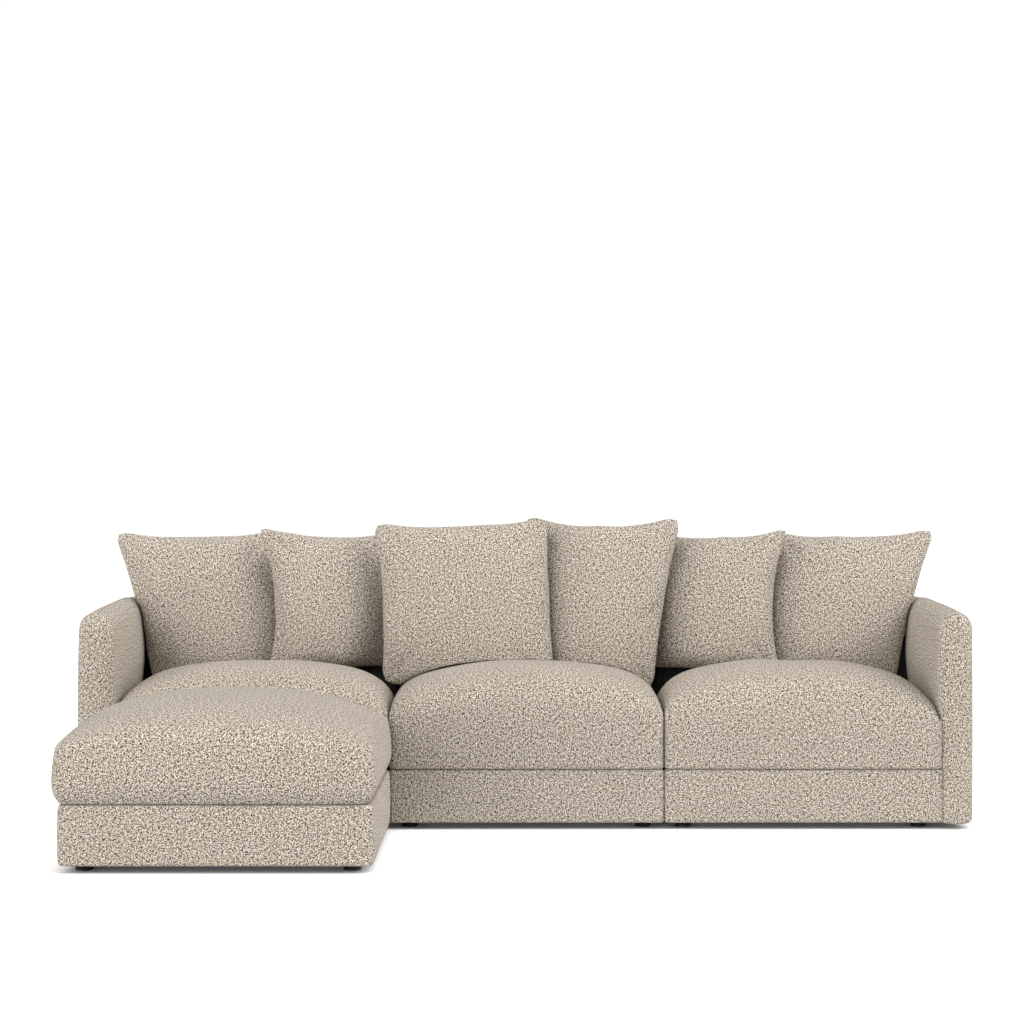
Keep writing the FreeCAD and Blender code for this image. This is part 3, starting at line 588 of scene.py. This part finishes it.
def sheet_pair(n, half, corner):
    """Two square sheets sewn along their edges: grid points of the front, then the inner points of the back."""
    s = np.linspace(-1, 1, n)
    front, back, pts, cell = {}, {}, [], []
    for i in range(n):
        for j in range(n):
            m = max(abs(s[i]), abs(s[j]), 1e-9)
            x, y = plan(np.array([s[i] / m]), np.array([s[j] / m]), half, half, corner)
            front[i, j] = len(pts)
            pts.append((x[0] * m, y[0] * m, 0.004 * (1 - s[i] ** 2) * (1 - s[j] ** 2)))
            cell.append((i, j))
    for i in range(n):
        for j in range(n):
            if i in (0, n - 1) or j in (0, n - 1):
                back[i, j] = front[i, j]
            else:
                back[i, j] = len(pts)
                x, y, z = pts[front[i, j]]
                pts.append((x, y, -z))
                cell.append((i, j))
    quads = []
    corners = [front[0, 0], front[n - 1, 0], front[n - 1, n - 1], front[0, n - 1]]
    for i in range(n - 1):
        for j in range(n - 1):
            for face in ((front[i, j], front[i + 1, j], front[i + 1, j + 1], front[i, j + 1]),
                         (back[i, j], back[i, j + 1], back[i + 1, j + 1], back[i + 1, j])):
                tip = [k for k, c in enumerate(face) if c in corners]
                if tip:
                    # a corner cell is split from the tip inwards, so that the two sheets share no face there
                    face = face[tip[0]:] + face[:tip[0]]
                    quads += [face[:3], (face[0], face[2], face[3])]
                else:
                    quads.append(face)
    mids = [front[0, n // 2], front[n - 1, n // 2], front[n // 2, 0], front[n // 2, n - 1]]
    return np.array(pts), quads, corners, mids, np.array(cell)


def inflate(name, n, half, seed, pressure=2.4, frames=24):
    """Sews two sheets and fills them with Blender's cloth, and returns the points, quads, corners, edge middles and grid places."""
    pts, quads, corners, mids, cell = sheet_pair(n, half, 0.035)
    pts[:, 2] += 0.0012 * waves(pts, 0.12, seed)
    mesh = bpy.data.meshes.new(name)
    mesh.from_pydata([tuple(map(float, v)) for v in pts], [], quads)
    o = bpy.data.objects.new(name, mesh)
    scene.collection.objects.link(o)
    c = o.modifiers.new("cloth", "CLOTH")
    st = c.settings
    st.quality = 7
    st.mass = 0.25
    st.tension_stiffness = st.compression_stiffness = 30
    st.shear_stiffness = 12
    st.bending_stiffness = 1.2
    st.tension_damping = st.compression_damping = 8
    st.air_damping = 3
    st.use_pressure = True
    st.uniform_pressure_force = pressure
    st.effector_weights.gravity = 0
    c.collision_settings.use_collision = False
    c.point_cache.frame_start, c.point_cache.frame_end = 1, frames
    for f in range(1, frames + 1):
        scene.frame_set(f)
    e = o.evaluated_get(bpy.context.evaluated_depsgraph_get())
    out = np.empty(len(pts) * 3)
    e.data.vertices.foreach_get("co", out)
    out = out.reshape(-1, 3)
    scene.frame_set(1)
    bpy.data.objects.remove(o)
    bpy.data.meshes.remove(mesh)
    return out, quads, corners, mids, cell


LEAN = math.radians(13)
# name, x of the middle, top, ahead of the back's slope, turn,
# corners as seen in the picture's frame (TL, TR, BR, BL), how far the edge middles reach (left, right, bottom, top),
# how late the top and bottom edges bend to the corners, thickness,
# how far a neighbour in front presses the left or right side back, seed
PILLOWS = [
    ("left_outer", -1.052, 0.925, 0.087, 0, ((110.2, 526.2), (274.8, 525.5), (294.8, 693.0), (151.8, 689.0)), (0.937, 0.963, 0.933, 0.878), 3.6, 0.170, (0.0, 0.022), 5),
    ("left_inner", -0.623, 0.943, 0.123, 13, ((252.4, 521.4), (400.6, 527.2), (394.6, 669.8), (263.4, 676.8)), (0.767, 0.912, 0.941, 0.841), 2.8, 0.170, (0.0, 0.054), 6),
    ("middle_left", -0.215, 0.962, 0.199, 0, ((368.9, 517.5), (550.4, 510.3), (561.0, 707.2), (378.0, 687.8)), (0.910, 0.946, 0.935, 0.877), 3.6, 0.175, (0.0, 0.0), 7),
    ("middle_right", 0.236, 0.956, 0.154, -10, ((520.8, 509.6), (685.4, 511.4), (654.2, 695.3), (529.3, 703.3)), (0.913, 0.926, 0.935, 0.833), 2.4, 0.175, (0.046, 0.0), 8),
    ("right_inner", 0.623, 0.943, 0.123, -13, ((650.4, 528.2), (793.6, 522.6), (785.6, 678.8), (645.4, 670.8)), (0.912, 0.772, 0.942, 0.840), 3.0, 0.170, (0.042, 0.0), 9),
    ("right_outer", 1.052, 0.925, 0.087, 0, ((773.2, 527.0), (939.6, 522.8), (897.0, 689.0), (755.2, 693.0)), (0.964, 0.918, 0.933, 0.864), 3.6, 0.170, (0.022, 0.0), 10),
]


def pillow_frame(x, top, ahead, turn):
    """Middle point and axes of a loose cushion: across, up the lean and out to the front."""
    zc = top - 0.2375 * math.cos(LEAN)
    along = (zc - 0.19 - ahead * math.sin(LEAN)) / math.cos(LEAN)
    yc = 0.554 + along * math.sin(LEAN) - ahead * math.cos(LEAN)
    t = math.radians(turn)

    def lean(v):
        return np.array((v[0], v[1] * math.cos(LEAN) + v[2] * math.sin(LEAN), -v[1] * math.sin(LEAN) + v[2] * math.cos(LEAN)))
    across = lean((math.cos(t), math.sin(t), 0))
    front = lean((math.sin(t), -math.cos(t), 0))
    up = lean((0, 0, 1))
    return np.array((x, yc, zc)), across, up, front


def on_plane(pixel, mid, normal):
    """Where the line of sight through a place in the picture meets a plane."""
    ray = np.array(((pixel[0] - 512) / FOCAL, 1.0, (512 - pixel[1]) / FOCAL))
    return CAM + ray * (np.dot(mid - CAM, normal) / np.dot(ray, normal))


def soften(d, n, rounds=6):
    """Evens out a value over both sheets, with the sewn edge held."""
    front = d[:n * n].reshape(n, n).copy()
    back = front.copy()
    back[1:-1, 1:-1] = d[n * n:].reshape(n - 2, n - 2)
    for a in (front, back):
        for _ in range(rounds):
            a[1:-1, 1:-1] = (a[:-2, 1:-1] + a[2:, 1:-1] + a[1:-1, :-2] + a[1:-1, 2:] + 4 * a[1:-1, 1:-1]) / 8
    return np.concatenate([front.ravel(), back[1:-1, 1:-1].ravel()])


for name, x, top, ahead, turn, seen, reach, bend, full, pressed, seed in PILLOWS:
    n = 45
    out, quads, corners, mids, cell = inflate(name + "_fill", n, 0.30, seed)
    # place across and up on the sheet, moved by the cloth inside its sewn edge
    grid = {tuple(c): k for k, c in reversed(list(enumerate(cell)))}
    west, east = (np.array([grid[i, j] for j in range(n)])[cell[:, 1]] for i in (0, n - 1))
    south, north = (np.array([grid[i, j] for i in range(n)])[cell[:, 0]] for j in (0, n - 1))
    gu, gv = cell[:, 0] / (n - 1) * 2 - 1, cell[:, 1] / (n - 1) * 2 - 1

    def edge_part(d):
        """What the sewn edge alone makes of a value inside it."""
        c = [d[k] for k in corners]
        lo_u, hi_u, lo_v, hi_v = (1 - gu) / 2, (1 + gu) / 2, (1 - gv) / 2, (1 + gv) / 2
        flat = lo_v * (lo_u * c[0] + hi_u * c[1]) + hi_v * (lo_u * c[3] + hi_u * c[2])
        return lo_u * d[west] + hi_u * d[east] + lo_v * d[south] + hi_v * d[north] - flat

    wide, tall = (np.abs(out[mids[:2], 0]).mean(), np.abs(out[mids[2:], 1]).mean())
    du, dv = out[:, 0] / wide - gu, out[:, 1] / tall - gv
    u, v = np.clip(gu + soften(du - edge_part(du), n), -1, 1), np.clip(gv + soften(dv - edge_part(dv), n), -1, 1)
    w = soften(out[:, 2] - 0.8 * edge_part(out[:, 2]), n)
    # the filling evens the folds out
    sheet = np.where(np.arange(len(w)) < n * n, 1.0, -1.0)
    even = sheet * ((1 - np.abs(u) ** 2.6) * (1 - np.abs(v) ** 2.6)) ** 0.5
    w = (0.42 * w / (w.max() - w.min()) + 0.29 * even) * full * (1 - 0.10 * v)
    # blunt corners, and edges that pull in between them
    m = np.maximum(np.maximum(np.abs(u), np.abs(v)), 1e-9)
    pu, pv = plan(u / m, v / m, 1.0, 1.0, 0.21)
    u, v = pu * m, pv * m
    over_v, over_u = 1 - np.abs(v) ** 2.4, 1 - np.abs(u) ** bend
    u, v = (u + ((1 - reach[0]) * (1 - u) - (1 - reach[1]) * (1 + u)) / 2 * over_v,
            v + ((1 - reach[2]) * (1 - v) - (1 - reach[3]) * (1 + v)) / 2 * over_u)
    mid, across, up, front = pillow_frame(x, top, ahead, turn)
    tl, tr, br, bl = [on_plane(s, mid, front) for s in seen]
    s, t = ((u + 1) / 2)[:, None], ((v + 1) / 2)[:, None]
    p = (bl * (1 - s) + br * s) * (1 - t) + (tl * (1 - s) + tr * s) * t + w[:, None] * front
    # a neighbour in front presses its side back, and it leans on the back and the arm
    p[:, 1] += pressed[0] * smooth_step((-u - 0.05) / 0.9) + pressed[1] * smooth_step((u - 0.05) / 0.9)
    p[:, 1] = np.minimum(p[:, 1], 0.5545 + np.maximum(p[:, 2] - 0.19, 0) * 0.231 - 0.004)
    room = 1.2985 - arm_bulge(p[:, 2]) + 0.25 * np.maximum(p[:, 2] - 0.67, 0) + 0.6 * np.maximum(p[:, 2] - 0.69, 0)
    p[:, 0] = np.clip(p[:, 0], -room, room)
    # it rests on the seat, pressed flat from below
    for _ in range(2):
        seat = seat_height(p[:, 0], p[:, 1]) + 0.0005
        over = p[:, 2] - seat
        p[:, 2] = np.where(seat > 0.1, seat + 0.5 * (over + np.sqrt(over ** 2 + 0.004 ** 2)), p[:, 2])
    o = make(f"{name}_pillow", p, quads, BOUCLE, f"{name}_back_cushion", (f"{name}_back_cushion",))


# ---------------------------------------------------------------- floor, light and camera
def floor_material():
    m, t, bsdf = new_material("pale_floor")
    co = node(t, "ShaderNodeTexCoord").outputs["Object"]
    n = node(t, "ShaderNodeTexNoise", Scale=3.0, Detail=3.0)
    t.links.new(co, n.inputs["Vector"])
    t.links.new(ramp(t, n.outputs["Fac"], [(0.3, (0.94, 0.94, 0.94)), (0.7, (0.96, 0.96, 0.96))]), bsdf.inputs["Base Color"])
    bsdf.inputs["Roughness"].default_value = 0.9
    bsdf.inputs["Specular IOR Level"].default_value = 0.1
    bsdf.inputs["Emission Color"].default_value = (1, 1, 1, 1)
    # its own light fades where something stands close over it
    open_above = node(t, "ShaderNodeAmbientOcclusion", samples=12, Distance=0.045)
    t.links.new(maths(t, "MULTIPLY", maths(t, "POWER", open_above.outputs["AO"], 1.7), 0.26), bsdf.inputs["Emission Strength"])
    return m


mesh = bpy.data.meshes.new("floor")
mesh.from_pydata([(-40, -40, 0), (40, -40, 0), (40, 40, 0), (-40, 40, 0)], [], [(0, 1, 2, 3)])
floor = bpy.data.objects.new("floor", mesh)
mesh.materials.append(floor_material())
scene.collection.objects.link(floor)

# the floor lies on a lit table: what reaches the object from below is the world's own, weaker light,
# and a dark sheet keeps it off the underside
floor.visible_diffuse = floor.visible_glossy = floor.visible_shadow = False


def shade_material():
    m, t, bsdf = new_material("floor_shade")
    n = node(t, "ShaderNodeTexNoise", Scale=3.0, Detail=3.0)
    t.links.new(node(t, "ShaderNodeTexCoord").outputs["Object"], n.inputs["Vector"])
    t.links.new(ramp(t, n.outputs["Fac"], [(0.3, (0.20, 0.19, 0.18)), (0.7, (0.24, 0.23, 0.22))]), bsdf.inputs["Base Color"])
    bsdf.inputs["Roughness"].default_value = 0.9
    return m


mesh = bpy.data.meshes.new("floor_shade")
mesh.from_pydata([(-1.30, -0.88, -0.001), (-0.44, -0.88, -0.001), (-0.44, 0.0, -0.001), (1.41, 0.0, -0.001), (1.41, 0.88, -0.001),
                  (-1.41, 0.88, -0.001), (-1.41, 0.0, -0.001), (-1.30, 0.0, -0.001)], [], [(0, 1, 2, 7), (6, 7, 2, 3, 4, 5)])
shade = bpy.data.objects.new("floor_shade", mesh)
mesh.materials.append(shade_material())
scene.collection.objects.link(shade)
shade.visible_camera = False

world = bpy.data.worlds.new("studio")
scene.world = world
world.use_nodes = True
wt = world.node_tree
wt.nodes.clear()


def background(name, colour, strength):
    n = wt.nodes.new("ShaderNodeBackground")
    n.name = name
    n.inputs["Color"].default_value = (*colour, 1)
    n.inputs["Strength"].default_value = strength
    return n.outputs[0]


def mixed(fac, first, second):
    n = wt.nodes.new("ShaderNodeMixShader")
    wt.links.new(fac, n.inputs["Fac"])
    wt.links.new(first, n.inputs[1])
    wt.links.new(second, n.inputs[2])
    return n.outputs[0]


w_way = wt.nodes.new("ShaderNodeSeparateXYZ")
wt.links.new(wt.nodes.new("ShaderNodeTexCoord").outputs["Generated"], w_way.inputs[0])
w_fill = mixed(maths(wt, "GREATER_THAN", w_way.outputs[2], 0.0), background("below", (1, 0.985, 0.965), 0.78), background("above", (1, 0.99, 0.975), 0.55))
w_path = wt.nodes.new("ShaderNodeLightPath")
w_out = wt.nodes.new("ShaderNodeOutputWorld")
wt.links.new(mixed(w_path.outputs["Is Camera Ray"], w_fill, background("seen", (1, 1, 1), 1.02)), w_out.inputs["Surface"])


def far_light(name, azimuth, elevation, width, strength):
    """A very broad, even light from far away: azimuth to the right of the front, in degrees."""
    light = bpy.data.lights.new(name, "SUN")
    light.energy, light.angle = strength, math.radians(width)
    o = bpy.data.objects.new(name, light)
    a, e = math.radians(azimuth), math.radians(elevation)
    o.rotation_euler = Vector((math.sin(a) * math.cos(e), -math.cos(a) * math.cos(e), math.sin(e))).to_track_quat("Z", "Y").to_euler()
    scene.collection.objects.link(o)
    return o


far_light("left_box", -38, 12, 72, 2.72)
far_light("right_low_box", 71, 12, 62, 1.44)
far_light("right_box", 80, 38, 50, 1.28)
far_light("left_rim_box", -80, 34, 50, 0.28)
far_light("top_box", 60, 70, 50, 0.84)

camera = bpy.data.cameras.new("camera")
camera.lens, camera.sensor_width, camera.clip_end = 80, 36, 200
cam = bpy.data.objects.new("camera", camera)
cam.location = tuple(CAM)
cam.rotation_euler = (math.radians(90), 0, 0)
scene.collection.objects.link(cam)
scene.camera = cam
